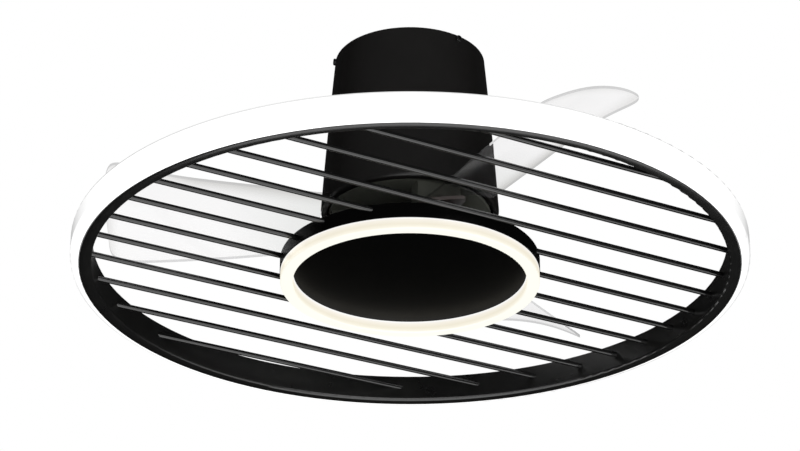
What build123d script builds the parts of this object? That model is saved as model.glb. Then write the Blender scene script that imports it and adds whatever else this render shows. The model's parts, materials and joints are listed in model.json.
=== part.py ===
from build123d import *
from math import atan, cos, degrees, radians, sin
import os

# A low ceiling fan: a housing with an outer-rotor motor, three clear blades, a round lamp under
# the motor and a ring light that hangs on a grille of parallel rods.
# Millimetres. The ceiling is z = 0, the fan hangs down from it around the Z axis, and the rods
# lie along X. Heights are z values, so they are negative; angles are degrees around Z.

# Primitives stand on their own base
ON_FLOOR = (Align.CENTER, Align.CENTER, Align.MIN)

# Clearances
fit_gap = 0.05          # radial play of a piece that sits in a bore
running_gap = 0.1       # ball in its groove
seat_gap = 0.3          # between curved faces that lie against each other
plug_gap = 0.45         # grille rod beside the lamp
root_overlap = 1.0      # by which the shapes of one piece reach into each other
screw_hole_spare = 1.0  # from a screw's end to the end of its blind hole

# Proportions of every screw head
screw_crown_share = 0.45       # rounding, of the head's height
screw_recess_depth_share = 0.6
screw_recess_width_share = 0.3

# Ceiling bracket
bracket_rim_gap = 7.1          # from the plate's edge to the inside of the housing
bracket_thickness = 2.0
bracket_wire_hole_radius = 20.0
bolt_spacing = 88.9
bolt_slot_length = 18.0
bolt_slot_width = 5.5
ear_count = 3
ear_azimuth = 160.0
ear_width = 14.0
ear_height = 12.0
ear_thickness = 2.5
ear_gap = 0.9           # from the ear's outer face to the housing
ear_bridge_length = 18.0

# Housing
housing_top_gap = 0.6   # between the housing and the ceiling
housing_top_radius = 68.6
housing_bottom_radius = 79.9
housing_bulge = 0.5
housing_height = 157.0
housing_wall = 2.2
housing_edge_radius = 5.0
side_screw_drop = 4.2
side_screw_radius = 2.0
side_screw_head_radius = 3.2
side_screw_head_height = 1.9
side_screw_length = 9.0

# Hanger plate inside the housing, with the lugs that carry it
hanger_drop = 70.0             # from the ceiling to the plate's top
hanger_thickness = 3.0
hanger_rim_gap = 1.5
hanger_wire_hole_radius = 6.0
hanger_wire_hole_offset = 30.0
lug_width = 13.0
lug_reach = 11.9               # from the inside of the housing
lug_rotor_gap = 3.0
lug_screw_radius = 1.75
lug_screw_inset = 6.0
lug_screw_length = 12.0
lug_screw_head_radius = 3.4
lug_screw_head_height = 2.0

# Hollow shaft, nuts and sleeve
shaft_radius = 10.0
shaft_bore_radius = 6.5
shaft_flange_radius = 17.0
shaft_flange_thickness = 3.0
shaft_shoulder_width = 2.4
shaft_thread_stub = 1.5
top_nut_flats = 30.0
top_nut_height = 7.0
disc_nut_flats = 27.0
disc_nut_height = 4.0
sleeve_wall = 2.5

# Ball bearings
bearing_outer_radius = 16.0
bearing_width = 7.0
bearing_race_wall = 2.4
bearing_ball_radius = 1.5
bearing_ball_count = 12
upper_bearing_drop = 13.0      # from the hanger plate to the upper bearing
lower_bearing_rise = 2.0       # from the rotor plate's underside to the lower bearing

# Motor
stator_hub_wall = 2.55
stator_radius = 50.0
stator_yoke_radius = 24.0
stator_stack_height = 26.0
stator_tooth_count = 12
stator_tooth_width = 7.0
stator_shoe_depth = 6.0
stator_slot_opening = 2.4
coil_thickness = 3.4
coil_yoke_gap = 7.5
coil_shoe_gap = 1.0
coil_corner_radius = 2.4
air_gap = 1.0
magnet_count = 14
magnet_thickness = 3.4
magnet_gap_angle = 2.5
magnet_height = 30.0
back_iron_thickness = 3.4

# Rotor
rotor_wall = 5.0
rotor_plate_thickness = 4.0
rotor_plate_rim_gap = 2.2      # from the plate's edge to the housing's mouth
rotor_plate_rise = 1.0         # above the housing's lower edge
rotor_plate_edge_radius = 1.5
rotor_cover_thickness = 3.0
rotor_cover_boss_radius = 21.0
rotor_boss_radius = 23.0
rotor_collar_radius = 24.0
rotor_collar_drop = 8.0
bearing_lip = 2.0
rotor_sleeve_gap = 1.0
rotor_screw_count = 4
rotor_screw_radius = 1.5
rotor_screw_length = 9.0
rotor_screw_head_radius = 2.4
rotor_screw_head_height = 1.6

# Blades
blade_count = 3
first_blade_azimuth = 150.8
blade_thickness = 2.4
blade_root_radius = 44.0
blade_shoulder_width = 3.5     # of the root outside the housing, before the span starts
blade_reach = 272.4            # from the fan's axis to the tip
blade_raised_width = 68.6      # greatest width from the blade's axis to its raised edge
blade_lowered_width = 38.9
blade_drop = 13.6              # from the rotor plate's underside to the blade's middle at its root
blade_straight_rise = 5.2      # of the tip over the root, in proportion to the span
blade_bowed_rise = 6.5         # of the tip over the root, with the square of the span
blade_root_slope = 0.31
blade_tip_slope = 0.485
blade_slope_bow = 0.07         # added to the slope between root and tip, a quarter of it at mid-span
blade_tip_camber = 0.0032
blade_station_count = 7
blade_housing_gap = 1.8
blade_trim = 8.0               # cut off the blade's blank all round
tab_side_high = 11.0
tab_side_low = 29.0
tab_corner_radius = 9.0
seat_corner_radius = 11.0
seat_rim_inset = 2.5           # from the rotor plate's edge to the seats
clamp_thickness = 3.0
clamp_overhang = 3.0
clamp_setback = 4.5            # from the clamp's outer end to the end of the root
blade_screw_radius = 1.75
blade_screw_length = 11.0
blade_screw_head_radius = 3.6
blade_screw_head_height = 2.2
blade_screw_inset = 9.0        # of the two inner screws, from the tab's inner end
blade_screw_high_inset = 7.0   # from the tab's raised side
blade_screw_low_inset = 8.0    # from the tab's lowered side
blade_screw_outer_inset = 20.0 # of the outer screw, from the tab's inner end

# Ring light
ring_drop = 62.6               # from the rotor plate's underside to the ring's lower rim
band_outer_radius = 292.4
band_rim_width = 11.4
band_height = 24.9
band_wall = 1.6
band_top_flange_width = 13.6
band_inner_edge_radius = 2.2
band_outer_edge_radius = 1.0
diffuser_depth = 7.6           # outside the band's rim
diffuser_wall = 1.8
diffuser_shoulder_rise = 8.2
diffuser_top_radius = 2.5
diffuser_lip = 4.5
ring_strip_thickness = 0.8
ring_strip_height = 9.0
ring_strip_rise = 12.0
ring_chip_count = 120
ring_chip_size = 2.8
ring_chip_thickness = 0.9
chip_sink = 0.4                # depth of a light chip in its board

# Grille
rod_radius = 2.5
rod_roof_gap = 0.65            # from the rods to the lamp's roof
last_rod_inset = 30.3          # from the outermost rods to the ring's inner wall
outer_rod_count = 3            # on each side, outside the rods that pass beside the lamp
half_rod_rank_count = 3        # rod lines on each side and at the centre that the lamp cuts
rod_wall_inset = 0.2
lead_rod_bore_radius = 1.3
ring_lead_radius = 0.9

# Centre lamp
disc_radius = 115.4
disc_wall = 1.8
disc_top_rise = 19.2           # top face above the ring's lower rim
disc_bottom_rise = 4.8
disc_edge_radius = 2.5
disc_hub_radius = 22.0
disc_hub_rise = 5.4
light_ring_setback = 0.5       # from the lamp's side
light_ring_width = 11.2
light_ring_drop = 5.6          # below the ring's lower rim
light_ring_wall = 1.6
light_ring_edge_radius = 1.4
light_ring_tongue = 3.0
light_ring_flange = 1.2
light_ring_flange_width = 4.2
face_plate_thickness = 2.0
face_post_radius = 4.0
face_post_circle_radius = 70.0
face_post_count = 4
face_post_azimuth = 45.0
face_screw_radius = 1.5
face_screw_length = 8.0
face_screw_head_radius = 2.9
face_screw_head_height = 1.6
led_board_thickness = 1.4
led_board_wall_gap = 0.5
led_board_overhang = 1.0       # over the inner edge of the light ring's flange
led_chip_count = 60
led_chip_size = 2.8
led_chip_thickness = 0.8
shaft_lead_radius = 1.6
shaft_lead_bend = 4.0

# Electronics over the hanger plate
driver_length = 70.0
driver_width = 34.0
driver_height = 24.0
driver_nut_gap = 3.7
driver_corner_radius = 3.0
driver_top_radius = 1.5
driver_foot_thickness = 1.6
driver_foot_overhang = 7.0
terminal_length = 34.0
terminal_width = 16.0
terminal_height = 14.0
terminal_nut_gap = 8.7
terminal_pole_count = 3
terminal_hole_radius = 1.6

# Worked out from the sizes above
housing_bottom = -housing_height
housing_mouth_radius = housing_bottom_radius - housing_edge_radius
bracket_radius = housing_top_radius - housing_wall - bracket_rim_gap
lug_azimuth = ear_azimuth + 180 / ear_count
hanger_top = -hanger_drop
hanger_bottom = hanger_top - hanger_thickness
race_inner_outer = shaft_radius + fit_gap + bearing_race_wall
race_outer_inner = bearing_outer_radius - bearing_race_wall
ball_circle_radius = (race_inner_outer + race_outer_inner) / 2
rotor_plate_radius = housing_mouth_radius - rotor_plate_rim_gap
rotor_bottom = housing_bottom + rotor_plate_rise
rotor_floor = rotor_bottom + rotor_plate_thickness
upper_bearing_top = hanger_bottom - upper_bearing_drop
upper_bearing_bottom = upper_bearing_top - bearing_width
lower_bearing_bottom = rotor_bottom + lower_bearing_rise
lower_bearing_top = lower_bearing_bottom + bearing_width
rotor_cover_top = upper_bearing_bottom - bearing_lip
rotor_cover_bottom = rotor_cover_top - rotor_cover_thickness
lug_height = hanger_bottom - rotor_cover_top - lug_rotor_gap
stack_middle = (rotor_cover_bottom + rotor_floor) / 2
stack_bottom = stack_middle - stator_stack_height / 2
stack_top = stack_middle + stator_stack_height / 2
shaft_shoulder_radius = shaft_radius + shaft_shoulder_width
stator_hub_radius = shaft_radius + fit_gap + stator_hub_wall
coil_inner_radius = stator_yoke_radius + coil_yoke_gap
coil_outer_radius = stator_radius - stator_shoe_depth - coil_shoe_gap
magnet_inner_radius = stator_radius + air_gap
magnet_outer_radius = magnet_inner_radius + magnet_thickness
iron_inner_radius = magnet_outer_radius + fit_gap
iron_outer_radius = iron_inner_radius + back_iron_thickness
rotor_inner_radius = iron_outer_radius + fit_gap
rotor_outer_radius = rotor_inner_radius + rotor_wall
rotor_screw_circle_radius = (rotor_inner_radius + rotor_outer_radius) / 2
sleeve_radius = shaft_radius + fit_gap + sleeve_wall
rotor_bore_radius = sleeve_radius + rotor_sleeve_gap
blade_tab_end = housing_bottom_radius + blade_housing_gap + blade_shoulder_width
clamp_reach = blade_tab_end - clamp_setback
seat_angle = degrees(atan(blade_root_slope))
tab_height = blade_thickness / cos(radians(seat_angle))
blank_end = blade_reach + blade_trim
blade_station_pitch = (blank_end - blade_tab_end) / (blade_station_count - 1)
band_bottom = rotor_bottom - ring_drop
band_top = band_bottom + band_height
band_inner_radius = band_outer_radius - band_rim_width
band_wall_radius = band_inner_radius + band_wall
diffuser_radius = band_outer_radius + diffuser_depth
disc_top = band_bottom + disc_top_rise
disc_inner_top = disc_top - disc_wall
disc_bottom = band_bottom + disc_bottom_rise
disc_hub_top = disc_top + disc_hub_rise
shaft_bottom = disc_inner_top - disc_nut_height - shaft_thread_stub
rod_z = disc_inner_top - rod_roof_gap - rod_radius
side_rod_offset = disc_radius + plug_gap + rod_radius
inner_rod_pitch = side_rod_offset / half_rod_rank_count
outer_rod_pitch = (band_inner_radius - last_rod_inset - side_rod_offset) / outer_rod_count
face_plate_top = disc_bottom + face_plate_thickness
light_ring_outer_radius = disc_radius - light_ring_setback
light_ring_inner_radius = light_ring_outer_radius - light_ring_width
light_ring_bottom = band_bottom - light_ring_drop
light_ring_floor = light_ring_bottom + light_ring_wall
light_ring_flange_radius = light_ring_inner_radius - light_ring_flange_width
led_board_bottom = face_plate_top + light_ring_wall + light_ring_flange
led_board_inner_radius = light_ring_flange_radius - led_board_overhang
led_chip_circle_radius = (light_ring_inner_radius + disc_radius - disc_wall - seat_gap) / 2
nut_corner_radius = top_nut_flats / 2 / cos(radians(30))
driver_offset = nut_corner_radius + driver_nut_gap
terminal_offset = nut_corner_radius + terminal_nut_gap + terminal_width / 2


def tube(outer_radius, inner_radius, bottom, top):
    body = Pos(0, 0, bottom) * Cylinder(outer_radius, top - bottom, align=ON_FLOOR)
    return body - Pos(0, 0, bottom) * Cylinder(inner_radius, top - bottom, align=ON_FLOOR)


def rod(radius, bottom, top):
    return Pos(0, 0, bottom) * Cylinder(radius, top - bottom, align=ON_FLOOR)


def around(count, first_azimuth=0.0):
    return [Rot(0, 0, first_azimuth + 360 * i / count) for i in range(count)]


def turned(points):
    # A closed outline of (radius, z) corners, turned around the Z axis.
    return revolve(Plane.XZ * make_face(Polyline(*points, close=True)), Axis.Z)


def edges_at(body, radius, height):
    # Circular edges around the axis with this radius at this height.
    found = []
    for edge in body.edges().filter_by(GeomType.CIRCLE):
        centre = edge.arc_center
        on_axis = abs(centre.X) < 0.01 and abs(centre.Y) < 0.01
        if on_axis and abs(edge.radius - radius) < 0.01 and abs(centre.Z - height) < 0.01:
            found.append(edge)
    return found


def screw(shank_radius, shank_length, head_radius, head_height):
    # Head on top of z = 0, shank below, with a cross recess in the head.
    head = fillet(Cylinder(head_radius, head_height, align=ON_FLOOR).edges().group_by(Axis.Z)[-1],
                  head_height * screw_crown_share)
    shank = Pos(0, 0, -shank_length) * Cylinder(shank_radius, shank_length, align=ON_FLOOR)
    recess_depth = head_height * screw_recess_depth_share
    recess_width = head_radius * screw_recess_width_share
    recess = Pos(0, 0, head_height - recess_depth) * Box(
        head_radius, recess_width, head_height, align=ON_FLOOR)
    return head + shank - recess - Rot(0, 0, 90) * recess


def housing_radius_at(z):
    # Outer radius of the housing between its top edge and its lower rounding.
    share = (-z - housing_top_gap) / (housing_height - housing_edge_radius - housing_top_gap)
    straight = housing_top_radius + share * (housing_bottom_radius - housing_top_radius)
    return straight + housing_bulge * 4 * share * (1 - share)


def lug_inner_radius():
    return housing_radius_at(hanger_bottom) - housing_wall - lug_reach


def housing_solid(inset):
    # The space inside the housing's outer face, moved inwards by the inset.
    top = -housing_top_gap
    low = housing_bottom + housing_edge_radius
    middle = (top + low) / 2
    corner = housing_edge_radius - inset
    side = ThreePointArc((housing_radius_at(top) - inset, top),
                         (housing_radius_at(middle) - inset, middle),
                         (housing_radius_at(low) - inset, low))
    centre = housing_bottom_radius - housing_edge_radius
    turn = ThreePointArc((centre + corner, low),
                         (centre + corner * cos(radians(45)), low - corner * sin(radians(45))),
                         (centre, low - corner))
    rest = Polyline((centre, low - corner), (0, low - corner), (0, top),
                    (housing_radius_at(top) - inset, top))
    return revolve(Plane.XZ * make_face(side + turn + rest), Axis.Z)


def side_screw_place(azimuth):
    # The frame of a side screw: z axis outwards, origin under its head.
    z = -side_screw_drop
    radius = housing_radius_at(z) + seat_gap
    direction = (cos(radians(azimuth)), sin(radians(azimuth)), 0)
    return Plane(origin=(radius * direction[0], radius * direction[1], z), z_dir=direction)


def make_ceiling_bracket():
    plate = Pos(0, 0, -bracket_thickness) * Cylinder(bracket_radius, bracket_thickness, align=ON_FLOOR)
    ear_face = housing_top_radius - housing_wall - ear_gap
    for turn in around(ear_count, ear_azimuth):
        bridge = Pos(ear_face - ear_bridge_length / 2, 0, -bracket_thickness / 2) * Box(
            ear_bridge_length, ear_width, bracket_thickness)
        ear = Pos(ear_face - ear_thickness / 2, 0, -ear_height / 2) * Box(
            ear_thickness, ear_width, ear_height)
        plate += turn * (bridge + ear)
    plate -= Pos(0, 0, -bracket_thickness) * Cylinder(bracket_wire_hole_radius, 3 * bracket_thickness)
    for side in (-1, 1):
        slot = SlotOverall(bolt_slot_length, bolt_slot_width)
        cut = Pos(side * bolt_spacing / 2, 0, -2 * bracket_thickness) * extrude(slot, 4 * bracket_thickness)
        plate -= cut
    for i in range(ear_count):
        place = side_screw_place(ear_azimuth + 360 * i / ear_count)
        plate -= place * Cylinder(side_screw_radius + fit_gap, 4 * side_screw_length)
    return plate


def make_housing_shell():
    shell = housing_solid(0) - housing_solid(housing_wall)
    shell -= rod(housing_mouth_radius, 2 * housing_bottom, housing_bottom + housing_edge_radius)
    depth = housing_bottom_radius - lug_inner_radius()
    middle = lug_inner_radius() + depth / 2
    lug = Pos(middle, 0, hanger_bottom - lug_height / 2) * Box(depth, lug_width, lug_height)
    for turn in around(ear_count, lug_azimuth):
        shell += turn * lug & housing_solid(housing_wall / 2)
        shell -= turn * Pos(lug_inner_radius() + lug_screw_inset, 0, hanger_bottom) * Cylinder(
            lug_screw_radius + fit_gap, 2 * (lug_screw_length - hanger_thickness + screw_hole_spare))
    for i in range(ear_count):
        place = side_screw_place(ear_azimuth + 360 * i / ear_count)
        shell -= place * Cylinder(side_screw_radius + fit_gap, 2 * side_screw_length)
    return shell


def make_side_screws():
    shape = screw(side_screw_radius, side_screw_length, side_screw_head_radius, side_screw_head_height)
    places = [side_screw_place(ear_azimuth + 360 * i / ear_count) for i in range(ear_count)]
    return Compound(children=[place * shape for place in places])


def make_hanger_plate():
    plate_radius = housing_radius_at(hanger_top) - housing_wall - hanger_rim_gap
    plate = tube(plate_radius, shaft_radius + fit_gap, hanger_bottom, hanger_top)
    for turn in around(ear_count, lug_azimuth):
        plate -= turn * Pos(lug_inner_radius() + lug_screw_inset, 0, hanger_top) * Cylinder(
            lug_screw_radius + fit_gap, 4 * hanger_thickness)
    for side in (-1, 1):
        plate -= Pos(side * hanger_wire_hole_offset, 0, hanger_top) * Cylinder(
            hanger_wire_hole_radius, 4 * hanger_thickness)
    return plate


def make_hanger_screws():
    shape = screw(lug_screw_radius, lug_screw_length, lug_screw_head_radius, lug_screw_head_height)
    spot = Pos(lug_inner_radius() + lug_screw_inset, 0, hanger_top)
    return Compound(children=[turn * spot * shape for turn in around(ear_count, lug_azimuth)])


def make_hollow_shaft():
    top = hanger_top + top_nut_height + shaft_thread_stub
    flange_bottom = hanger_bottom - shaft_flange_thickness
    body = rod(shaft_radius, shaft_bottom, top)
    body += rod(shaft_flange_radius, flange_bottom, hanger_bottom)
    body += rod(shaft_shoulder_radius, upper_bearing_top, flange_bottom)
    return body - rod(shaft_bore_radius, 2 * shaft_bottom, -shaft_bottom)


def hex_nut(flats, bottom, top):
    outline = RegularPolygon(flats / 2, 6, major_radius=False)
    body = Pos(0, 0, bottom) * extrude(outline, top - bottom)
    return body - rod(shaft_radius + fit_gap, bottom, top)


def make_spacer_sleeve():
    return tube(sleeve_radius, shaft_radius + fit_gap, disc_hub_top, lower_bearing_bottom)


def race_groove(bearing_bottom):
    middle = bearing_bottom + bearing_width / 2
    return Pos(0, 0, middle) * Torus(ball_circle_radius, bearing_ball_radius + running_gap)


def make_inner_race(bearing_bottom):
    race = tube(race_inner_outer, shaft_radius + fit_gap, bearing_bottom, bearing_bottom + bearing_width)
    return race - race_groove(bearing_bottom)


def make_outer_race(bearing_bottom):
    race = tube(bearing_outer_radius, race_outer_inner, bearing_bottom, bearing_bottom + bearing_width)
    return race - race_groove(bearing_bottom)


def make_bearing_balls():
    balls = []
    for bearing_bottom in (upper_bearing_bottom, lower_bearing_bottom):
        middle = bearing_bottom + bearing_width / 2
        for turn in around(bearing_ball_count):
            balls.append(turn * Pos(ball_circle_radius, 0, middle) * Sphere(bearing_ball_radius))
    return Compound(children=balls)


def make_stator_hub():
    return tube(stator_hub_radius, shaft_radius + fit_gap, lower_bearing_top, upper_bearing_bottom)


def make_stator_core():
    core = tube(stator_yoke_radius, stator_hub_radius + fit_gap, stack_bottom, stack_top)
    tooth_start = stator_yoke_radius - root_overlap
    tooth_length = stator_radius - stator_shoe_depth / 2 - tooth_start
    for turn in around(stator_tooth_count):
        core += turn * Pos(tooth_start + tooth_length / 2, 0, stack_middle) * Box(
            tooth_length, stator_tooth_width, stator_stack_height)
    shoes = tube(stator_radius, stator_radius - stator_shoe_depth, stack_bottom, stack_top)
    for turn in around(stator_tooth_count, 180 / stator_tooth_count):
        shoes -= turn * Pos(stator_radius, 0, stack_middle) * Box(
            4 * stator_shoe_depth, stator_slot_opening, 2 * stator_stack_height)
    return core + shoes


def make_stator_windings():
    # One closed coil around each tooth.
    length = coil_outer_radius - coil_inner_radius
    hole_width = stator_tooth_width + 2 * seat_gap
    hole_height = stator_stack_height + 2 * seat_gap
    coil = Box(length, hole_width + 2 * coil_thickness, hole_height + 2 * coil_thickness)
    coil = fillet(coil.edges().filter_by(Axis.X), coil_corner_radius)
    coil -= Box(2 * length, hole_width, hole_height)
    place = Pos((coil_inner_radius + coil_outer_radius) / 2, 0, stack_middle)
    return Compound(children=[turn * place * coil for turn in around(stator_tooth_count)])


def make_rotor_magnets():
    sweep_angle = 360 / magnet_count - magnet_gap_angle
    face = Plane.XZ * Pos((magnet_inner_radius + magnet_outer_radius) / 2, stack_middle) * Rectangle(
        magnet_thickness, magnet_height)
    magnet = revolve(face, Axis.Z, sweep_angle)
    return Compound(children=[turn * magnet for turn in around(magnet_count)])


def make_back_iron():
    bottom = stack_middle - magnet_height / 2
    return tube(iron_outer_radius, iron_inner_radius, bottom, bottom + magnet_height)


def make_rotor_cover():
    cover = tube(rotor_outer_radius, rotor_bore_radius, rotor_cover_bottom, rotor_cover_top)
    cover += tube(rotor_cover_boss_radius, rotor_bore_radius, rotor_cover_bottom, upper_bearing_bottom)
    cover += tube(rotor_cover_boss_radius, bearing_outer_radius + fit_gap, upper_bearing_bottom,
                  upper_bearing_top)
    for turn in around(rotor_screw_count):
        cover -= turn * Pos(rotor_screw_circle_radius, 0, rotor_cover_top) * Cylinder(
            rotor_screw_radius + fit_gap, 4 * rotor_cover_thickness)
    return cover


def make_rotor_screws():
    shape = screw(rotor_screw_radius, rotor_screw_length, rotor_screw_head_radius, rotor_screw_head_height)
    spot = Pos(rotor_screw_circle_radius, 0, rotor_cover_top)
    return Compound(children=[turn * spot * shape for turn in around(rotor_screw_count)])


def blade_azimuth(index):
    return first_blade_azimuth + 360 * index / blade_count


def blade_height(x, y):
    # Height of the blade's middle surface at a distance x along its axis and y across it.
    share = max(0.0, (x - blade_tab_end) / (blade_reach - blade_tab_end))
    slope = blade_root_slope + share * (blade_tip_slope - blade_root_slope)
    slope += blade_slope_bow * share * (1 - share)
    middle = rotor_bottom - blade_drop + blade_straight_rise * share + blade_bowed_rise * share**2
    return middle + slope * y - blade_tip_camber * share * y * y


def tilted_slab(start, end, low_y, high_y, below, above):
    # A slab along the blade axis that follows the root's slope, from below to above its middle.
    corners = []
    for y, offset in ((low_y, below), (high_y, below), (high_y, above), (low_y, above)):
        corners.append((start, y, blade_height(start, y) + offset))
    face = Face(Wire.make_polygon([Vector(*corner) for corner in corners], close=True))
    return extrude(face, end - start, dir=(1, 0, 0))


def blade_section(x, low_y, high_y):
    # The cambered cross-section of the blade at one distance from the axis.
    steps = 6
    across = [low_y + (high_y - low_y) * i / steps for i in range(steps + 1)]
    half = tab_height / 2
    lower = [Vector(x, y, blade_height(x, y) - half) for y in across]
    upper = [Vector(x, y, blade_height(x, y) + half) for y in across]
    wire = Wire([Edge.make_spline(lower), Edge.make_line(lower[-1], upper[-1]),
                 Edge.make_spline(upper[::-1]), Edge.make_line(upper[0], lower[0])])
    return Face(wire)


# Outline of a blade seen from above, from the root's raised side around the tip and back: shares of
# the blade's reach, and of its greatest width on that side of its axis, raised side positive.
blade_outline = [(0.211, 0.605), (0.418, 0.694), (0.565, 0.742), (0.719, 0.797), (0.869, 0.945),
                 (0.960, 1.0), (0.978, 0.862), (0.993, 0.566), (1.0, 0.133), (0.996, -0.501),
                 (0.982, -0.913), (0.951, -0.985), (0.844, -1.0), (0.707, -0.938), (0.557, -0.861),
                 (0.410, -0.763), (0.219, -0.756)]


def blade_outline_prism():
    points = []
    for reach_share, width_share in blade_outline:
        width = blade_raised_width if width_share > 0 else blade_lowered_width
        points.append(Vector(reach_share * blade_reach, width_share * width, band_bottom))
    wire = Wire([Edge.make_spline(points), Edge.make_line(points[-1], points[0])])
    return extrude(Face(wire), -band_bottom, dir=(0, 0, 1))


def tab_prism():
    # Plan of the root tab under the rotor's seat.
    length = blade_tab_end - blade_root_radius
    plan = Pos(blade_root_radius + length / 2, (tab_side_high - tab_side_low) / 2) * Rectangle(
        length, tab_side_high + tab_side_low)
    plan = fillet(plan.vertices().group_by(Axis.X)[0], tab_corner_radius)
    return Pos(0, 0, band_bottom) * extrude(plan, -band_bottom)


def seat_plan(margin):
    # Plan of the lobed seat and of the clamp, larger than the root tab by a margin.
    start = blade_root_radius - margin
    end = clamp_reach
    low = -tab_side_low - margin
    high = tab_side_high + margin
    plan = Pos((start + end) / 2, (low + high) / 2) * Rectangle(end - start, high - low)
    return fillet(plan.vertices(), seat_corner_radius)


def blade_screw_places():
    # Frames under the clamp, one per screw: z axis down along the screw, out of its head.
    inner_x = blade_root_radius + blade_screw_inset
    outer_x = blade_root_radius + blade_screw_outer_inset
    spots = []
    for x, y in ((inner_x, tab_side_high - blade_screw_high_inset),
                 (inner_x, blade_screw_low_inset - tab_side_low),
                 (outer_x, (tab_side_high - tab_side_low) / 2)):
        z = blade_height(x, y) - tab_height / 2 - clamp_thickness / cos(radians(seat_angle))
        spots.append(Plane(origin=(x, y, z), x_dir=(1, 0, 0),
                           z_dir=(0, sin(radians(seat_angle)), -cos(radians(seat_angle)))))
    return spots


def blade_screw_holes():
    depth = 2 * (blade_screw_length + fit_gap)
    return [place * Cylinder(blade_screw_radius + fit_gap, depth) for place in blade_screw_places()]


def make_blade(index):
    low = -blade_lowered_width - blade_trim
    high = blade_raised_width + blade_trim
    stations = [blade_tab_end + i * blade_station_pitch for i in range(blade_station_count)]
    span = loft([blade_section(x, low, high) for x in stations]) & blade_outline_prism()
    root = tilted_slab(blade_root_radius, blade_tab_end, low, high, -tab_height / 2, tab_height / 2)
    shoulder = root & blade_outline_prism()
    shoulder -= rod(housing_bottom_radius + blade_housing_gap, band_bottom, 0)
    body = span + shoulder + (root & tab_prism())
    for hole in blade_screw_holes():
        body -= hole
    return Rot(0, 0, blade_azimuth(index)) * body


def make_blade_clamp(index):
    thickness = clamp_thickness / cos(radians(seat_angle))
    body = tilted_slab(0, clamp_reach, -2 * tab_side_low, 2 * tab_side_low,
                       -tab_height / 2 - thickness, -tab_height / 2)
    body &= Pos(0, 0, band_bottom) * extrude(seat_plan(clamp_overhang), -band_bottom)
    for hole in blade_screw_holes():
        body -= hole
    return Rot(0, 0, blade_azimuth(index)) * body


def make_blade_screws():
    shape = screw(blade_screw_radius, blade_screw_length, blade_screw_head_radius, blade_screw_head_height)
    screws = []
    for index in range(blade_count):
        for place in blade_screw_places():
            screws.append(Rot(0, 0, blade_azimuth(index)) * (place * shape))
    return Compound(children=screws)


def make_rotor_shell():
    shell = tube(rotor_plate_radius, rotor_bore_radius, rotor_bottom, rotor_floor)
    shell = fillet(edges_at(shell, rotor_plate_radius, rotor_bottom), rotor_plate_edge_radius)
    shell += tube(rotor_outer_radius, rotor_inner_radius, rotor_bottom + root_overlap, rotor_cover_bottom)
    shell += tube(rotor_boss_radius, rotor_bore_radius, rotor_bottom, lower_bearing_top)
    shell += tube(rotor_collar_radius, rotor_bore_radius, rotor_bottom - rotor_collar_drop, rotor_floor)
    for index in range(blade_count):
        height = rotor_floor - blade_height(0, 0)
        seat = tilted_slab(0, clamp_reach, -2 * tab_side_low, 2 * tab_side_low, tab_height / 2,
                           2 * height)
        seat &= Pos(0, 0, band_bottom) * extrude(seat_plan(0), rotor_floor - root_overlap - band_bottom)
        seat &= rod(rotor_plate_radius - seat_rim_inset, band_bottom, rotor_floor)
        shell += Rot(0, 0, blade_azimuth(index)) * seat.solid()
        for hole in blade_screw_holes():
            shell -= Rot(0, 0, blade_azimuth(index)) * hole
    shell -= rod(bearing_outer_radius + fit_gap, lower_bearing_bottom, 0)
    hole_depth = rotor_screw_length - rotor_cover_thickness + screw_hole_spare
    for turn in around(rotor_screw_count):
        shell -= turn * Pos(rotor_screw_circle_radius, 0, rotor_cover_bottom) * Cylinder(
            rotor_screw_radius + fit_gap, 2 * hole_depth)
    return shell


def grille_rods():
    # Every rod by name: full chords outside the lamp, half chords that end in the lamp.
    wall_end = rod(band_wall_radius - rod_wall_inset, 2 * band_bottom, 0)
    lamp_space = rod(disc_radius - disc_wall - 2 * rod_radius, 2 * band_bottom, 0)
    bar = Rot(0, 90, 0) * Cylinder(rod_radius, 2 * diffuser_radius)
    rods = {}
    for i in range(outer_rod_count + 1):
        offset = side_rod_offset + i * outer_rod_pitch
        rods[f"full_rod_near_{i + 1}"] = Pos(0, -offset, rod_z) * bar & wall_end
        rods[f"full_rod_far_{i + 1}"] = Pos(0, offset, rod_z) * bar & wall_end
    for i in range(1 - half_rod_rank_count, half_rod_rank_count):
        place = Pos(0, i * inner_rod_pitch, rod_z)
        halves = place * bar & wall_end
        halves -= lamp_space
        ordered = halves.solids().sort_by(Axis.X)
        rods[f"half_rod_left_{i + half_rod_rank_count}"] = ordered[0]
        rods[f"half_rod_right_{i + half_rod_rank_count}"] = ordered[-1]
    lead_rod = f"half_rod_left_{half_rod_rank_count}"
    rods[lead_rod] -= Pos(0, 0, rod_z) * Rot(0, 90, 0) * Cylinder(lead_rod_bore_radius, 2 * diffuser_radius)
    return rods


def rod_holes(offsets):
    hole = Rot(0, 90, 0) * Cylinder(rod_radius + fit_gap, 2 * diffuser_radius)
    return [Pos(0, offset, rod_z) * hole for offset in offsets]


def half_rod_offsets():
    return [i * inner_rod_pitch for i in range(1 - half_rod_rank_count, half_rod_rank_count)]


def full_rod_offsets():
    offsets = [side_rod_offset + i * outer_rod_pitch for i in range(outer_rod_count + 1)]
    return [-offset for offset in offsets] + offsets


def make_ring_band():
    inner = band_inner_radius
    flange = band_bottom + band_wall
    top_edge = inner + band_top_flange_width
    band = turned([(inner, band_bottom), (band_outer_radius, band_bottom), (band_outer_radius, flange),
                   (inner + band_wall, flange), (inner + band_wall, band_top - band_wall),
                   (top_edge, band_top - band_wall), (top_edge, band_top), (inner, band_top)])
    band = fillet(edges_at(band, inner, band_bottom), band_inner_edge_radius)
    band = fillet(edges_at(band, band_outer_radius, band_bottom), band_outer_edge_radius)
    for hole in rod_holes(half_rod_offsets() + full_rod_offsets()):
        band -= hole
    return band


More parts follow.
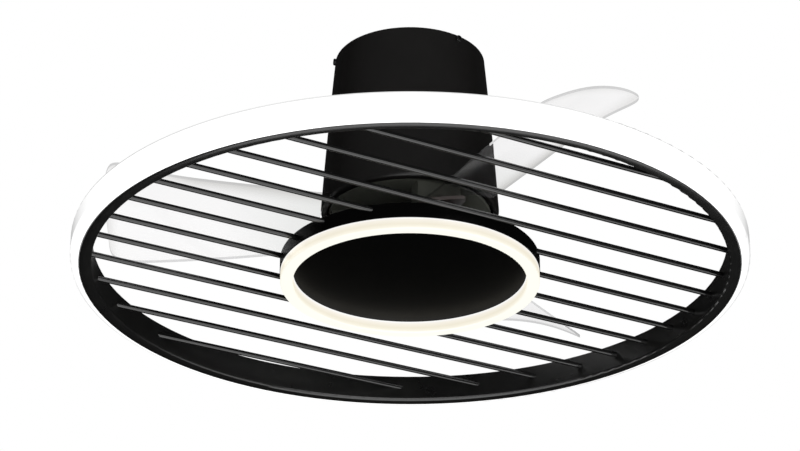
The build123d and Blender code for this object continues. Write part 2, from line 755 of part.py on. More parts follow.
def make_ring_diffuser():
    # White skin around the open side of the band, with a lip over each of the band's flanges.
    start = band_outer_radius + seat_gap
    inside = diffuser_radius - diffuser_wall
    top_inner = band_inner_radius + band_top_flange_width + seat_gap
    flange = band_bottom + band_wall + seat_gap
    low = band_bottom + diffuser_shoulder_rise
    under = band_top - band_wall - seat_gap
    depth = diffuser_radius - start
    bend = cos(radians(45))
    outer_turn = ThreePointArc((start, band_bottom),
                               (start + depth * bend, low - diffuser_shoulder_rise * bend),
                               (diffuser_radius, low))
    top_turn = ThreePointArc((diffuser_radius, band_top - diffuser_top_radius),
                             (diffuser_radius - diffuser_top_radius * (1 - bend),
                              band_top - diffuser_top_radius * (1 - bend)),
                             (diffuser_radius - diffuser_top_radius, band_top))
    outer_side = Line((diffuser_radius, low), (diffuser_radius, band_top - diffuser_top_radius))
    lip_top = flange + diffuser_wall
    rest = Polyline((diffuser_radius - diffuser_top_radius, band_top), (top_inner, band_top),
                    (top_inner, under), (top_inner - diffuser_lip, under),
                    (top_inner - diffuser_lip, under - diffuser_wall), (inside, under - diffuser_wall),
                    (inside, low))
    inner_turn = ThreePointArc((inside, low),
                               (start + (inside - start) * bend, low - (low - lip_top) * bend),
                               (start, lip_top))
    close = Polyline((start, lip_top), (start - diffuser_lip, lip_top), (start - diffuser_lip, flange),
                     (start, flange), (start, band_bottom))
    outline = outer_turn + outer_side + top_turn + rest + inner_turn + close
    return revolve(Plane.XZ * make_face(outline), Axis.Z)


def make_ring_led_strip():
    inner = band_wall_radius + seat_gap
    outer = inner + ring_strip_thickness
    bottom = band_bottom + ring_strip_rise - ring_strip_height / 2
    strip = tube(outer, inner, bottom, bottom + ring_strip_height)
    chip_middle = outer + (ring_chip_thickness - chip_sink) / 2
    chip = Pos(chip_middle, 0, bottom + ring_strip_height / 2) * Box(
        ring_chip_thickness + chip_sink, ring_chip_size, ring_chip_size)
    return strip + [turn * chip for turn in around(ring_chip_count)]


def make_ring_lead():
    start = disc_radius - disc_wall - 4 * rod_radius
    end = band_wall_radius - rod_wall_inset
    return Pos(-(start + end) / 2, 0, rod_z) * Rot(0, 90, 0) * Cylinder(ring_lead_radius, end - start)


def face_post_places():
    return [turn * Pos(face_post_circle_radius, 0, 0) for turn in around(face_post_count, face_post_azimuth)]


def make_disc_body():
    inner = disc_radius - disc_wall
    body = turned([(0, disc_top), (disc_radius, disc_top), (disc_radius, disc_bottom), (inner, disc_bottom),
                   (inner, disc_inner_top), (0, disc_inner_top)])
    body = fillet(edges_at(body, disc_radius, disc_top), disc_edge_radius)
    body += rod(disc_hub_radius, disc_inner_top, disc_hub_top)
    body -= rod(shaft_radius + fit_gap, 2 * band_bottom, 0)
    for hole in rod_holes(half_rod_offsets()):
        body -= hole
    for place in face_post_places():
        body -= place * rod(face_screw_radius + fit_gap, 2 * disc_top, 0)
    return body


def make_disc_face_plate():
    radius = light_ring_inner_radius - seat_gap
    plate = rod(radius, disc_bottom, face_plate_top)
    for place in face_post_places():
        plate += place * rod(face_post_radius, face_plate_top - root_overlap, disc_inner_top)
    for place in face_post_places():
        hole_bottom = disc_inner_top - face_screw_length
        plate -= place * rod(face_screw_radius + fit_gap, hole_bottom, 0)
    return plate


def make_disc_face_screws():
    length = face_screw_length + disc_wall - screw_hole_spare
    shape = screw(face_screw_radius, length, face_screw_head_radius, face_screw_head_height)
    return Compound(children=[place * Pos(0, 0, disc_top) * shape for place in face_post_places()])


def make_disc_light_ring():
    # Translucent channel, open upwards, with a flange that rests on the face plate.
    outer = light_ring_outer_radius
    tongue = disc_radius - disc_wall - seat_gap
    inside = tongue - light_ring_wall
    inner = light_ring_inner_radius
    wall = inner + light_ring_wall
    step = disc_bottom - seat_gap
    top = led_board_bottom - seat_gap
    ring = turned([(outer, light_ring_bottom), (outer, step), (tongue, step),
                   (tongue, step + light_ring_tongue), (inside, step + light_ring_tongue),
                   (inside, light_ring_floor), (wall, light_ring_floor), (wall, top),
                   (light_ring_flange_radius, top), (light_ring_flange_radius, face_plate_top),
                   (inner, face_plate_top), (inner, light_ring_bottom)])
    ring = fillet(edges_at(ring, outer, light_ring_bottom), light_ring_edge_radius)
    return fillet(edges_at(ring, inner, light_ring_bottom), light_ring_edge_radius)


def make_disc_led_board():
    outer = disc_radius - disc_wall - led_board_wall_gap
    board = tube(outer, led_board_inner_radius, led_board_bottom, led_board_bottom + led_board_thickness)
    chip_middle = led_board_bottom - (led_chip_thickness - chip_sink) / 2
    chip = Pos(led_chip_circle_radius, 0, chip_middle) * Box(
        led_chip_size, led_chip_size, led_chip_thickness + chip_sink)
    return board + [turn * chip for turn in around(led_chip_count)]


def make_driver_box():
    base = Box(driver_length, driver_width, driver_height, align=ON_FLOOR)
    base = fillet(base.edges().filter_by(Axis.Z), driver_corner_radius)
    base = fillet(base.edges().group_by(Axis.Z)[-1], driver_top_radius)
    foot = Box(driver_length + 2 * driver_foot_overhang, driver_width / 3, driver_foot_thickness,
               align=ON_FLOOR)
    return Pos(0, driver_offset + driver_width / 2, hanger_top) * (base + foot)


def make_terminal_block():
    pitch = terminal_length / terminal_pole_count
    body = Pos(0, -terminal_offset, hanger_top) * Box(
        terminal_length, terminal_width, terminal_height, align=ON_FLOOR)
    for i in range(terminal_pole_count):
        x = (i - (terminal_pole_count - 1) / 2) * pitch
        body -= Pos(x, -terminal_offset, hanger_top + terminal_height) * Cylinder(
            terminal_hole_radius, terminal_height)
        body -= Pos(x, -terminal_offset, hanger_top + terminal_height / 3) * Rot(90, 0, 0) * Cylinder(
            terminal_hole_radius, 2 * terminal_width)
    return body


def make_shaft_lead():
    # Cable from the driver over the shaft, down its bore and out to the lamp's light board.
    turn_radius = shaft_lead_bend * 2
    start_z = hanger_top + top_nut_height + shaft_thread_stub + turn_radius
    end_z = face_plate_top + shaft_lead_radius + seat_gap
    end_x = led_board_inner_radius - seat_gap
    points = [(0, driver_offset - seat_gap, start_z), (0, turn_radius, start_z),
              (0, 0, start_z - turn_radius), (0, 0, end_z + shaft_lead_bend),
              (shaft_lead_bend, 0, end_z), (end_x, 0, end_z)]
    bend = cos(radians(45))
    first_middle = (0, turn_radius * (1 - bend), start_z - turn_radius * (1 - bend))
    last_middle = (shaft_lead_bend * (1 - bend), 0, end_z + shaft_lead_bend * (1 - bend))
    path = Wire([Edge.make_line(points[0], points[1]),
                 Edge.make_three_point_arc(points[1], first_middle, points[2]),
                 Edge.make_line(points[2], points[3]),
                 Edge.make_three_point_arc(points[3], last_middle, points[4]),
                 Edge.make_line(points[4], points[5])])
    section = Plane(origin=points[0], z_dir=(0, -1, 0)) * Circle(shaft_lead_radius)
    return sweep(section, path=path)


os.makedirs("parts", exist_ok=True)

pieces = {
    "ceiling_bracket": make_ceiling_bracket(),
    "housing_shell": make_housing_shell(),
    "housing_side_screws": make_side_screws(),
    "hanger_plate": make_hanger_plate(),
    "hanger_screws": make_hanger_screws(),
    "hollow_shaft": make_hollow_shaft(),
    "shaft_top_nut": hex_nut(top_nut_flats, hanger_top, hanger_top + top_nut_height),
    "disc_nut": hex_nut(disc_nut_flats, disc_inner_top - disc_nut_height, disc_inner_top),
    "spacer_sleeve": make_spacer_sleeve(),
    "upper_bearing_inner_race": make_inner_race(upper_bearing_bottom),
    "lower_bearing_inner_race": make_inner_race(lower_bearing_bottom),
    "upper_bearing_outer_race": make_outer_race(upper_bearing_bottom),
    "lower_bearing_outer_race": make_outer_race(lower_bearing_bottom),
    "bearing_balls": make_bearing_balls(),
    "stator_hub": make_stator_hub(),
    "stator_core": make_stator_core(),
    "stator_windings": make_stator_windings(),
    "rotor_shell": make_rotor_shell(),
    "rotor_cover": make_rotor_cover(),
    "rotor_screws": make_rotor_screws(),
    "rotor_back_iron": make_back_iron(),
    "rotor_magnets": make_rotor_magnets(),
    "blade_screws": make_blade_screws(),
    "driver_box": make_driver_box(),
    "terminal_block": make_terminal_block(),
    "shaft_lead": make_shaft_lead(),
    "ring_band": make_ring_band(),
    "ring_diffuser": make_ring_diffuser(),
    "ring_led_strip": make_ring_led_strip(),
    "ring_lead": make_ring_lead(),
    "disc_body": make_disc_body(),
    "disc_face_plate": make_disc_face_plate(),
    "disc_face_screws": make_disc_face_screws(),
    "disc_light_ring": make_disc_light_ring(),
    "disc_led_board": make_disc_led_board(),
}
for index in range(blade_count):
    pieces[f"blade_{index + 1}"] = make_blade(index)
    pieces[f"blade_clamp_{index + 1}"] = make_blade_clamp(index)
pieces.update(grille_rods())

for name, shape in pieces.items():
    export_step(shape, f"parts/{name}.step")
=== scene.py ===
import json
from math import atan, cos, radians, sin

import bpy
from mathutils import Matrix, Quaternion, Vector


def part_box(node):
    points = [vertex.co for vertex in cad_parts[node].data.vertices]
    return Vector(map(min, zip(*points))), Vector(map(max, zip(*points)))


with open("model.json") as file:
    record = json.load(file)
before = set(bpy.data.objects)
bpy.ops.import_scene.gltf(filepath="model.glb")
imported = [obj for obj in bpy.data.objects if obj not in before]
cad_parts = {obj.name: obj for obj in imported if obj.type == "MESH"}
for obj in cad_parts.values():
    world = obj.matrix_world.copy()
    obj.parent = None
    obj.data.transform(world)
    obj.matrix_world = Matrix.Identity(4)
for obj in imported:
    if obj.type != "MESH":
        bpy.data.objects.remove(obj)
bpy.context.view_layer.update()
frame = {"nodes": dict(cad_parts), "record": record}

# A low ceiling fan with clear blades, a round centre lamp and a luminous ring on a grille of rods.
# Metres and degrees, in the frame of the solids: ceiling at z = 0, rods along X, the fan hangs down -Z.

nodes = frame["nodes"]

# Camera: where the photograph was taken from, round the middle of the ring's lower rim
VIEW_AZIMUTH = -29.41
VIEW_ELEVATION = -24.96
CAMERA_DISTANCE = 2.3667
CAMERA_RANGE = 50
FOCAL_PIXELS = 2671.0
IMAGE_WIDTH = 800.0
IMAGE_HEIGHT = 451.0
RING_CENTRE_PIXEL = (409.9, 279.2)
SENSOR_WIDTH = 36.0

# Studio
FLOOR_DROP = 6.0
FLOOR_SIZE = 40.0
OVERHEAD_STRENGTH = 2.6
OVERHEAD_SPREAD = 60
ROOM_DARK = 0.02
ROOM_LIGHT = 0.15
ROOM_DARK_COSINE = -0.3     # of the angle from the camera's side, where the room is darkest
ROOM_LIGHT_COSINE = 0.6
SOFTBOXES = (
    # Name, place, target, size, power, turn about the vertical
    ("softbox_below", (-0.03, -0.61, -1.6), (-0.03, -0.61, 0), (2.3, 2.3), 45.0, VIEW_AZIMUTH),
    ("softbox_side", (2.0, -0.9, -1.6), (2.0, -0.9, 0), (1.3, 1.5), 16.0, 0.0),
    ("softbox_front", (-0.2, -2.0, -0.85), (-0.2, 0, -0.15), (2.6, 1.3), 26.0, 0.0),
)

# Ring and lamp
RIM_INNER_RADIUS = 0.281
RIM_ROLL = 0.0055           # by which the rolled rim would fall to its outer edge
RIM_ROLL_POWER = 3.0
RING_GLOW = 1.3
RING_SHADED_EDGE_GLOW = 0.62 * RING_GLOW
RING_EDGE_DEPTHS = (0.0029, 0.0019)     # under the ring's top, where the dimmer edge starts and is full
LAMP_RING_HEIGHT = 0.0104
LAMP_GLOW = (
    # Share of the height from the face up, and the colour on the screen
    (0.0, (253, 252, 243)), (0.07, (252, 249, 236)), (0.2, (249, 243, 226)),
    (0.42, (241, 234, 215)), (0.75, (247, 241, 229)), (1.0, (246, 242, 235)),
)

# Blades: a point lies along a blade's own axis and across it, positive towards the raised edge
BLADE_COUNT = 3
FIRST_BLADE_AZIMUTH = 150.8
BLADE_REACH = 0.2724
BLADE_ROOT_SHADE_START = 0.07
BLADE_ROOT_SHADE_END = 0.17
RAISED_EDGE_SLOPE = 0.0954
RAISED_EDGE_ROOT = 0.036
RAISED_EDGE_TIP = 0.0425
RAISED_EDGE_STEP_START = 0.196
RAISED_EDGE_STEP_END = 0.237
SHADE_WIDTH = 0.018
SHADE_POWER = 1.6
SHADE_FADE_START = 0.19
SHADE_FADE_END = 0.23
SHADE_LEFT = 0.4            # share of the edge's shade that stays after it has faded
TIP_SHADE = 0.5
TIP_SHADE_WIDTH = 0.012
CUT_EDGE_UPRIGHT = 0.55     # up to which a normal's height belongs to the cut edge
FACE_UPRIGHT = 0.8

band_low, band_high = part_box("ring_band")
lamp_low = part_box("disc_light_ring")[0]
ring_centre = Vector((0, 0, band_low[2]))
ring_outer_radius = band_high[0]
ring_top = band_high[2]


def new_material(name):
    material = bpy.data.materials.new(name)
    material.use_nodes = True
    tree = material.node_tree
    shader = tree.nodes["Principled BSDF"]
    return material, tree, shader


def add(tree, kind, **settings):
    node = tree.nodes.new(kind)
    for key, value in settings.items():
        setattr(node, key, value)
    return node


def object_position(tree):
    return add(tree, "ShaderNodeTexCoord").outputs["Object"]


def parts_of(tree, vector):
    # The X, Y and Z of a vector, as sockets with those names.
    split = add(tree, "ShaderNodeSeparateXYZ")
    tree.links.new(vector, split.inputs[0])
    return split.outputs


def noise(tree, scale, detail=3.0, roughness=0.5, stretch=(1, 1, 1)):
    # Noise in metres of the object's own space; scale is the number of lumps in a metre.
    mapping = add(tree, "ShaderNodeMapping")
    mapping.inputs["Scale"].default_value = stretch
    texture = add(tree, "ShaderNodeTexNoise")
    texture.inputs["Scale"].default_value = scale
    texture.inputs["Detail"].default_value = detail
    texture.inputs["Roughness"].default_value = roughness
    tree.links.new(object_position(tree), mapping.inputs["Vector"])
    tree.links.new(mapping.outputs["Vector"], texture.inputs["Vector"])
    return texture.outputs["Fac"]


def between(tree, value, from_low, from_high, to_low=0.0, to_high=1.0):
    # Maps a range of a value to another range and holds the ends.
    node = add(tree, "ShaderNodeMapRange")
    node.inputs["From Min"].default_value = from_low
    node.inputs["From Max"].default_value = from_high
    node.inputs["To Min"].default_value = to_low
    node.inputs["To Max"].default_value = to_high
    tree.links.new(value, node.inputs["Value"])
    return node.outputs["Result"]


def spread(tree, value, low, high):
    # Noise stays mostly between 0.3 and 0.7.
    return between(tree, value, 0.3, 0.7, low, high)


def two_colours(tree, value, first, second):
    node = add(tree, "ShaderNodeMix", data_type="RGBA")
    for socket, colour in ((node.inputs[6], first), (node.inputs[7], second)):
        if isinstance(colour, tuple):
            socket.default_value = (*colour, 1)
        else:
            tree.links.new(colour, socket)
    tree.links.new(value, node.inputs[0])
    return node.outputs[2]


def calculate(tree, operation, first, second=0.0):
    node = add(tree, "ShaderNodeMath", operation=operation)
    for socket, value in ((node.inputs[0], first), (node.inputs[1], second)):
        if isinstance(value, float):
            socket.default_value = value
        else:
            tree.links.new(value, socket)
    return node.outputs[0]


def height(tree):
    return parts_of(tree, object_position(tree))["Z"]


def distance_from_axis(tree):
    place = parts_of(tree, object_position(tree))
    flat = add(tree, "ShaderNodeCombineXYZ")
    length = add(tree, "ShaderNodeVectorMath", operation="LENGTH")
    tree.links.new(place["X"], flat.inputs["X"])
    tree.links.new(place["Y"], flat.inputs["Y"])
    tree.links.new(flat.outputs[0], length.inputs[0])
    return length.outputs["Value"]


def blade_place(tree):
    # Distances along and across a blade's own axis, the same on each blade round the fan.
    place = parts_of(tree, object_position(tree))
    azimuth = calculate(tree, "ARCTAN2", place["Y"], place["X"])
    turned = calculate(tree, "SUBTRACT", azimuth, radians(FIRST_BLADE_AZIMUTH))
    half_pitch = radians(180 / BLADE_COUNT)
    fold = add(tree, "ShaderNodeMath", operation="WRAP")
    fold.inputs[1].default_value = half_pitch
    fold.inputs[2].default_value = -half_pitch
    tree.links.new(turned, fold.inputs[0])
    radius = distance_from_axis(tree)
    along = calculate(tree, "MULTIPLY", radius, calculate(tree, "COSINE", fold.outputs[0]))
    across = calculate(tree, "MULTIPLY", radius, calculate(tree, "SINE", fold.outputs[0]))
    return along, across


def blade_shade(tree):
    # How much a blade is shaded: softly inside its raised edge, less towards the tip, and at the tip.
    along, across = blade_place(tree)
    slant = calculate(tree, "MULTIPLY", along, RAISED_EDGE_SLOPE)
    offset = between(tree, along, RAISED_EDGE_STEP_START, RAISED_EDGE_STEP_END,
                     RAISED_EDGE_ROOT, RAISED_EDGE_TIP)
    inset = calculate(tree, "SUBTRACT", calculate(tree, "ADD", slant, offset), across)
    beside = calculate(tree, "POWER", between(tree, inset, SHADE_WIDTH, 0.0), SHADE_POWER)
    beside = calculate(tree, "MULTIPLY", beside,
                       between(tree, along, SHADE_FADE_START, SHADE_FADE_END, 1.0, SHADE_LEFT))
    at_tip = between(tree, along, BLADE_REACH - TIP_SHADE_WIDTH, BLADE_REACH)
    at_tip = calculate(tree, "MULTIPLY", calculate(tree, "POWER", at_tip, SHADE_POWER), TIP_SHADE)
    return calculate(tree, "MAXIMUM", beside, at_tip)


def screen_colour(red, green, blue):
    # Linear colour from the 0 to 255 values that a screen shows.
    linear = []
    for value in (red, green, blue):
        share = value / 255
        linear.append(share / 12.92 if share < 0.04045 else ((share + 0.055) / 1.055) ** 2.4)
    return tuple(linear)


def bump(tree, shader, surface, strength, distance):
    node = add(tree, "ShaderNodeBump")
    node.inputs["Strength"].default_value = strength
    node.inputs["Distance"].default_value = distance
    tree.links.new(surface, node.inputs["Height"])
    tree.links.new(node.outputs["Normal"], shader.inputs["Normal"])


def black_coat(name, colour, rough_low, rough_high, specular=0.5):
    # Baked paint: a fine orange-peel grain, faint patches of slightly different tone and gloss.
    material, tree, shader = new_material(name)
    lighter = tuple(1.25 * c for c in colour)
    patches = spread(tree, noise(tree, scale=30.0), 0, 1)
    gloss = spread(tree, noise(tree, scale=60.0, detail=4.0), rough_low, rough_high)
    tree.links.new(two_colours(tree, patches, colour, lighter), shader.inputs["Base Color"])
    tree.links.new(gloss, shader.inputs["Roughness"])
    shader.inputs["Specular IOR Level"].default_value = specular
    bump(tree, shader, noise(tree, scale=1400.0, detail=2.0), strength=0.3, distance=0.00001)
    return material


def band_paint(name):
    # The lower rim rolls over towards its outer edge: the normal follows that curve.
    material, tree, shader = new_material(name)
    patches = spread(tree, noise(tree, scale=30.0), 0, 1)
    paint = two_colours(tree, patches, (0.0025, 0.0025, 0.0025), (0.0035, 0.0035, 0.0032))
    tree.links.new(paint, shader.inputs["Base Color"])
    tree.links.new(spread(tree, noise(tree, scale=60.0, detail=4.0), 0.27, 0.33), shader.inputs["Roughness"])
    across = between(tree, distance_from_axis(tree), RIM_INNER_RADIUS, ring_outer_radius)
    fall = calculate(tree, "MULTIPLY", calculate(tree, "POWER", across, RIM_ROLL_POWER), -RIM_ROLL)
    bump(tree, shader, fall, strength=1.0, distance=1.0)
    return material


def metal(name, colour, rough_low, rough_high, stretch=(1, 1, 1), scale=900.0, metallic=1.0):
    # Patches of tone six times as large as the marks in the surface; both follow the stretch.
    material, tree, shader = new_material(name)
    shader.inputs["Metallic"].default_value = metallic
    darker = tuple(0.75 * c for c in colour)
    patches = spread(tree, noise(tree, scale / 6, 4.0, 0.6, stretch), 0, 1)
    tree.links.new(two_colours(tree, patches, darker, colour), shader.inputs["Base Color"])
    tree.links.new(spread(tree, noise(tree, scale, 3.0, 0.6, stretch), rough_low, rough_high),
                   shader.inputs["Roughness"])
    bump(tree, shader, noise(tree, scale, 3.0, 0.6, stretch), strength=0.2, distance=0.00003)
    return material


def moulded(name, colour, rough_low, rough_high, grain=1800.0):
    material, tree, shader = new_material(name)
    darker = tuple(0.9 * c for c in colour)
    patches = spread(tree, noise(tree, scale=60.0), 0, 1)
    gloss = spread(tree, noise(tree, scale=120.0, detail=4.0), rough_low, rough_high)
    tree.links.new(two_colours(tree, patches, darker, colour), shader.inputs["Base Color"])
    tree.links.new(gloss, shader.inputs["Roughness"])
    bump(tree, shader, noise(tree, grain, detail=2.0), strength=0.3, distance=0.00003)
    return material


def ring_acrylic(name):
    # Opal skin lit from behind; its top edge glows a little dimmer, painted shade for the rounded edge.
    material, tree, shader = new_material(name)
    shader.inputs["Base Color"].default_value = (0.1, 0.1, 0.1, 1)
    shader.inputs["Emission Color"].default_value = (1, 1, 1, 1)
    shader.inputs["Roughness"].default_value = 0.3
    shader.inputs["Coat Weight"].default_value = 1.0
    shader.inputs["Coat Roughness"].default_value = 0.15
    edge_start, edge_full = RING_EDGE_DEPTHS
    # Painted shade: the glow dims towards the top edge.
    glow = between(tree, height(tree), ring_top - edge_start, ring_top - edge_full,
                   RING_GLOW, RING_SHADED_EDGE_GLOW)
    patches = spread(tree, noise(tree, scale=25.0), 0.98, 1.0)
    tree.links.new(calculate(tree, "MULTIPLY", glow, patches), shader.inputs["Emission Strength"])
    return material


def lamp_acrylic(name):
    # Warm light ring: brightest on its face, creamier half way up its walls.
    material, tree, shader = new_material(name)
    shader.inputs["Base Color"].default_value = (0.04, 0.04, 0.035, 1)
    shader.inputs["Roughness"].default_value = 0.3
    rise = between(tree, height(tree), lamp_low[2], lamp_low[2] + LAMP_RING_HEIGHT)
    ramp = add(tree, "ShaderNodeValToRGB")
    for place, colour in LAMP_GLOW:
        stop = ramp.color_ramp.elements.new(place)
        stop.color = (*screen_colour(*colour), 1)
    # The ramp's own two stops go.
    ramp.color_ramp.elements.remove(ramp.color_ramp.elements[0])
    ramp.color_ramp.elements.remove(ramp.color_ramp.elements[-1])
    tree.links.new(rise, ramp.inputs[0])
    tree.links.new(ramp.outputs["Color"], shader.inputs["Emission Color"])
    tree.links.new(spread(tree, noise(tree, scale=40.0), 0.945, 0.975), shader.inputs["Emission Strength"])
    return material


def clear_blade(name):
    # Water-clear plastic, darker towards the root with painted shade from the housing; the cut edge is
    # painted darker than the faces, as painted shade.
    material, tree, shader = new_material(name)
    # Painted shade: the blade darkens towards its root, under the housing.
    outwards = between(tree, distance_from_axis(tree), BLADE_ROOT_SHADE_START, BLADE_ROOT_SHADE_END)
    face = two_colours(tree, outwards, (0.80, 0.81, 0.795), (0.945, 0.940, 0.942))
    face = two_colours(tree, blade_shade(tree), face, (0.62, 0.615, 0.60))
    normal = parts_of(tree, add(tree, "ShaderNodeTexCoord").outputs["Normal"])
    upright = calculate(tree, "ABSOLUTE", normal["Z"])
    on_face = between(tree, upright, CUT_EDGE_UPRIGHT, FACE_UPRIGHT)
    # Painted shade: the cut edge is painted darker than the faces, in place of the light the edge bends.
    tree.links.new(two_colours(tree, on_face, (0.5, 0.5, 0.505), face), shader.inputs["Base Color"])
    shader.inputs["Transmission Weight"].default_value = 1.0
    # So little refraction that the cut edges don't go black.
    shader.inputs["IOR"].default_value = 1.004
    shader.inputs["Coat Weight"].default_value = 0.18
    shader.inputs["Coat Roughness"].default_value = 0.12
    tree.links.new(spread(tree, noise(tree, scale=20.0), 0.02, 0.06), shader.inputs["Roughness"])
    bump(tree, shader, noise(tree, scale=14.0, detail=1.0), strength=0.08, distance=0.0004)
    return material


def winding_copper(name):
    material, tree, shader = new_material(name)
    shader.inputs["Metallic"].default_value = 1.0
    wave = add(tree, "ShaderNodeTexWave", wave_type="BANDS")
    wave.inputs["Scale"].default_value = 900.0
    wave.inputs["Distortion"].default_value = 1.5
    tree.links.new(object_position(tree), wave.inputs["Vector"])
    tree.links.new(two_colours(tree, wave.outputs["Fac"], (0.25, 0.08, 0.03), (0.72, 0.32, 0.14)),
                   shader.inputs["Base Color"])
    shader.inputs["Roughness"].default_value = 0.35
    bump(tree, shader, wave.outputs["Fac"], strength=0.6, distance=0.0003)
    return material


materials = {
    "bracket_steel": metal("galvanised_steel", (0.6, 0.61, 0.62), 0.35, 0.55, scale=300.0, metallic=0.6),
    "housing_black": black_coat("housing_paint", (0.0045, 0.0040, 0.0038), 0.3, 0.36),
    "screw_black": black_coat("black_screw", (0.006, 0.006, 0.006), 0.3, 0.4, specular=0.3),
    "screw_steel": metal("zinc_steel", (0.6, 0.6, 0.58), 0.25, 0.4),
    "shaft_steel": metal("turned_steel", (0.5, 0.5, 0.51), 0.2, 0.35, (1, 1, 8)),
    "ball_chrome": metal("chrome_ball", (0.8, 0.8, 0.8), 0.05, 0.1),
    "race_steel": metal("ground_steel", (0.62, 0.62, 0.63), 0.15, 0.3, (1, 1, 8)),
    "aluminium_hub": metal("cast_aluminium", (0.66, 0.67, 0.69), 0.4, 0.6, scale=600.0),
    "core_steel": metal("laminated_steel", (0.3, 0.3, 0.32), 0.35, 0.5, (0.05, 0.05, 3)),
    "winding_copper": winding_copper("enamelled_wire"),
    "rotor_black": black_coat("rotor_paint", (0.075, 0.078, 0.066), 0.3, 0.4, specular=0.35),
    "magnet_grey": black_coat("magnet_coat", (0.08, 0.08, 0.085), 0.3, 0.5),
    "driver_plastic": moulded("driver_shell", (0.8, 0.8, 0.78), 0.4, 0.6),
    "terminal_plastic": moulded("terminal_shell", (0.75, 0.75, 0.72), 0.35, 0.5),
    "cable_rubber": moulded("cable_sheath", (0.7, 0.7, 0.67), 0.45, 0.6, grain=900.0),
    "band_black": band_paint("band_paint"),
    "ring_white": ring_acrylic("ring_acrylic"),
    "board_white": moulded("board_mask", (0.8, 0.8, 0.76), 0.3, 0.45),
    "lamp_black": black_coat("lamp_paint", (0.001, 0.001, 0.001), 0.3, 0.38, specular=0.03),
    "face_black": black_coat("face_plate_paint", (0.0005, 0.0005, 0.0005), 0.34, 0.4, specular=0.03),
    "lamp_ring_white": lamp_acrylic("lamp_acrylic"),
    "rod_black": black_coat("rod_paint", (0.002, 0.002, 0.002), 0.09, 0.14),
    "blade_clear": clear_blade("clear_plastic"),
    "clamp_black": black_coat("clamp_plastic", (0.030, 0.019, 0.017), 0.3, 0.38),
}


def dress_pieces():
    for subpart in frame["record"]["subparts"]:
        mesh = nodes[subpart["node"]].data
        mesh.materials.clear()
        mesh.materials.append(materials[subpart["material_slot"]])


def make_floor():
    mesh = bpy.data.meshes.new("floor")
    half = FLOOR_SIZE / 2
    corners = [(x, y, -FLOOR_DROP) for x, y in ((-half, -half), (half, -half), (half, half), (-half, half))]
    mesh.from_pydata(corners, [], [(0, 1, 2, 3)])
    floor = bpy.data.objects.new("floor", mesh)
    bpy.context.scene.collection.objects.link(floor)
    material, tree, shader = new_material("pale_floor")
    patches = spread(tree, noise(tree, scale=3.0), 0, 1)
    tree.links.new(two_colours(tree, patches, (0.78, 0.78, 0.77), (0.82, 0.82, 0.81)),
                   shader.inputs["Base Color"])
    shader.inputs["Roughness"].default_value = 0.8
    mesh.materials.append(material)
    # Black paint doesn't mirror the floor.
    floor.visible_glossy = False


def make_softbox(name, place, target, size, power, turn):
    # Shows in reflections, but not through the clear blades.
    light = bpy.data.lights.new(name, "AREA")
    light.shape = "RECTANGLE"
    light.size, light.size_y = size
    light.energy = power
    aim = (Vector(target) - Vector(place)).to_track_quat("-Z", "Y")
    lamp = bpy.data.objects.new(name, light)
    lamp.location = place
    lamp.rotation_mode = "QUATERNION"
    lamp.rotation_quaternion = Quaternion((0, 0, 1), radians(turn)) @ aim
    lamp.visible_transmission = False
    bpy.context.scene.collection.objects.link(lamp)


def make_overhead_light():
    # Even light from above, for the floor and the upper sides; black paint doesn't mirror it.
    light = bpy.data.lights.new("overhead", "SUN")
    light.energy = OVERHEAD_STRENGTH
    light.angle = radians(OVERHEAD_SPREAD)
    lamp = bpy.data.objects.new("overhead", light)
    lamp.visible_glossy = False
    lamp.visible_transmission = False
    bpy.context.scene.collection.objects.link(lamp)


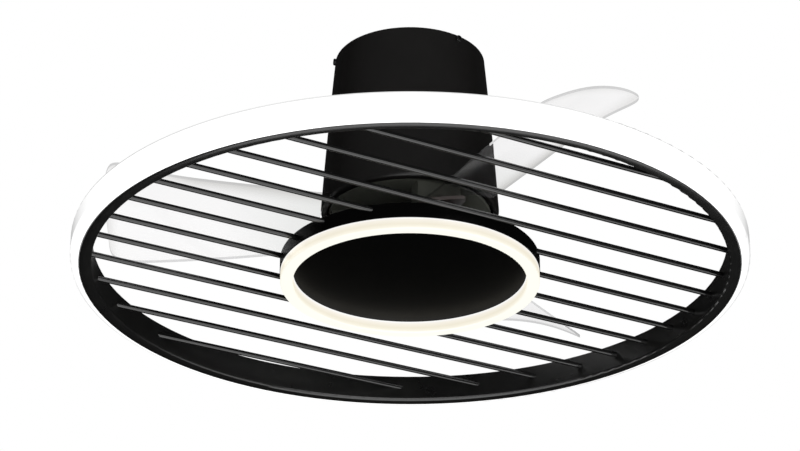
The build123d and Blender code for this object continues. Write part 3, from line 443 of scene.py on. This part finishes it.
def make_world():
    # White backdrop behind the fan, and a dim room that is lighter on the camera's side.
    world = bpy.data.worlds.new("studio")
    bpy.context.scene.world = world
    world.use_nodes = True
    tree = world.node_tree
    tree.nodes.clear()
    backdrop = add(tree, "ShaderNodeBackground")
    backdrop.inputs["Color"].default_value = (1, 1, 1, 1)
    room = add(tree, "ShaderNodeBackground")
    room.inputs["Color"].default_value = (1, 1, 1, 1)
    azimuth = radians(VIEW_AZIMUTH)
    towards = add(tree, "ShaderNodeVectorMath", operation="DOT_PRODUCT")
    towards.inputs[1].default_value = (sin(azimuth), -cos(azimuth), 0)
    tree.links.new(add(tree, "ShaderNodeTexCoord").outputs["Generated"], towards.inputs[0])
    brightness = between(tree, towards.outputs["Value"], ROOM_DARK_COSINE, ROOM_LIGHT_COSINE,
                         ROOM_DARK, ROOM_LIGHT)
    tree.links.new(brightness, room.inputs["Strength"])
    path = add(tree, "ShaderNodeLightPath")
    seen = calculate(tree, "MAXIMUM", path.outputs["Is Camera Ray"], path.outputs["Is Transmission Ray"])
    mix = add(tree, "ShaderNodeMixShader")
    output = add(tree, "ShaderNodeOutputWorld")
    tree.links.new(seen, mix.inputs[0])
    tree.links.new(room.outputs[0], mix.inputs[1])
    tree.links.new(backdrop.outputs[0], mix.inputs[2])
    tree.links.new(mix.outputs[0], output.inputs["Surface"])


def make_camera():
    azimuth = radians(VIEW_AZIMUTH)
    elevation = radians(VIEW_ELEVATION)
    away = Vector((sin(azimuth) * cos(elevation), -cos(azimuth) * cos(elevation), sin(elevation)))
    data = bpy.data.cameras.new("camera")
    data.sensor_width = SENSOR_WIDTH
    data.lens = FOCAL_PIXELS * SENSOR_WIDTH / IMAGE_WIDTH
    data.clip_end = CAMERA_RANGE
    camera = bpy.data.objects.new("camera", data)
    camera.location = ring_centre + CAMERA_DISTANCE * away
    # Turned so that the ring's centre falls where the photograph shows it.
    yaw = atan((RING_CENTRE_PIXEL[0] - IMAGE_WIDTH / 2) / FOCAL_PIXELS)
    pitch = atan((RING_CENTRE_PIXEL[1] - IMAGE_HEIGHT / 2) / FOCAL_PIXELS)
    camera.rotation_mode = "QUATERNION"
    camera.rotation_quaternion = ((-away).to_track_quat("-Z", "Y") @ Quaternion((0, 1, 0), yaw)
                                  @ Quaternion((1, 0, 0), pitch))
    bpy.context.scene.collection.objects.link(camera)
    bpy.context.scene.camera = camera


dress_pieces()
make_floor()
make_world()
for softbox in SOFTBOXES:
    make_softbox(*softbox)
make_overhead_light()
make_camera()
bpy.context.scene.view_settings.view_transform = "Standard"
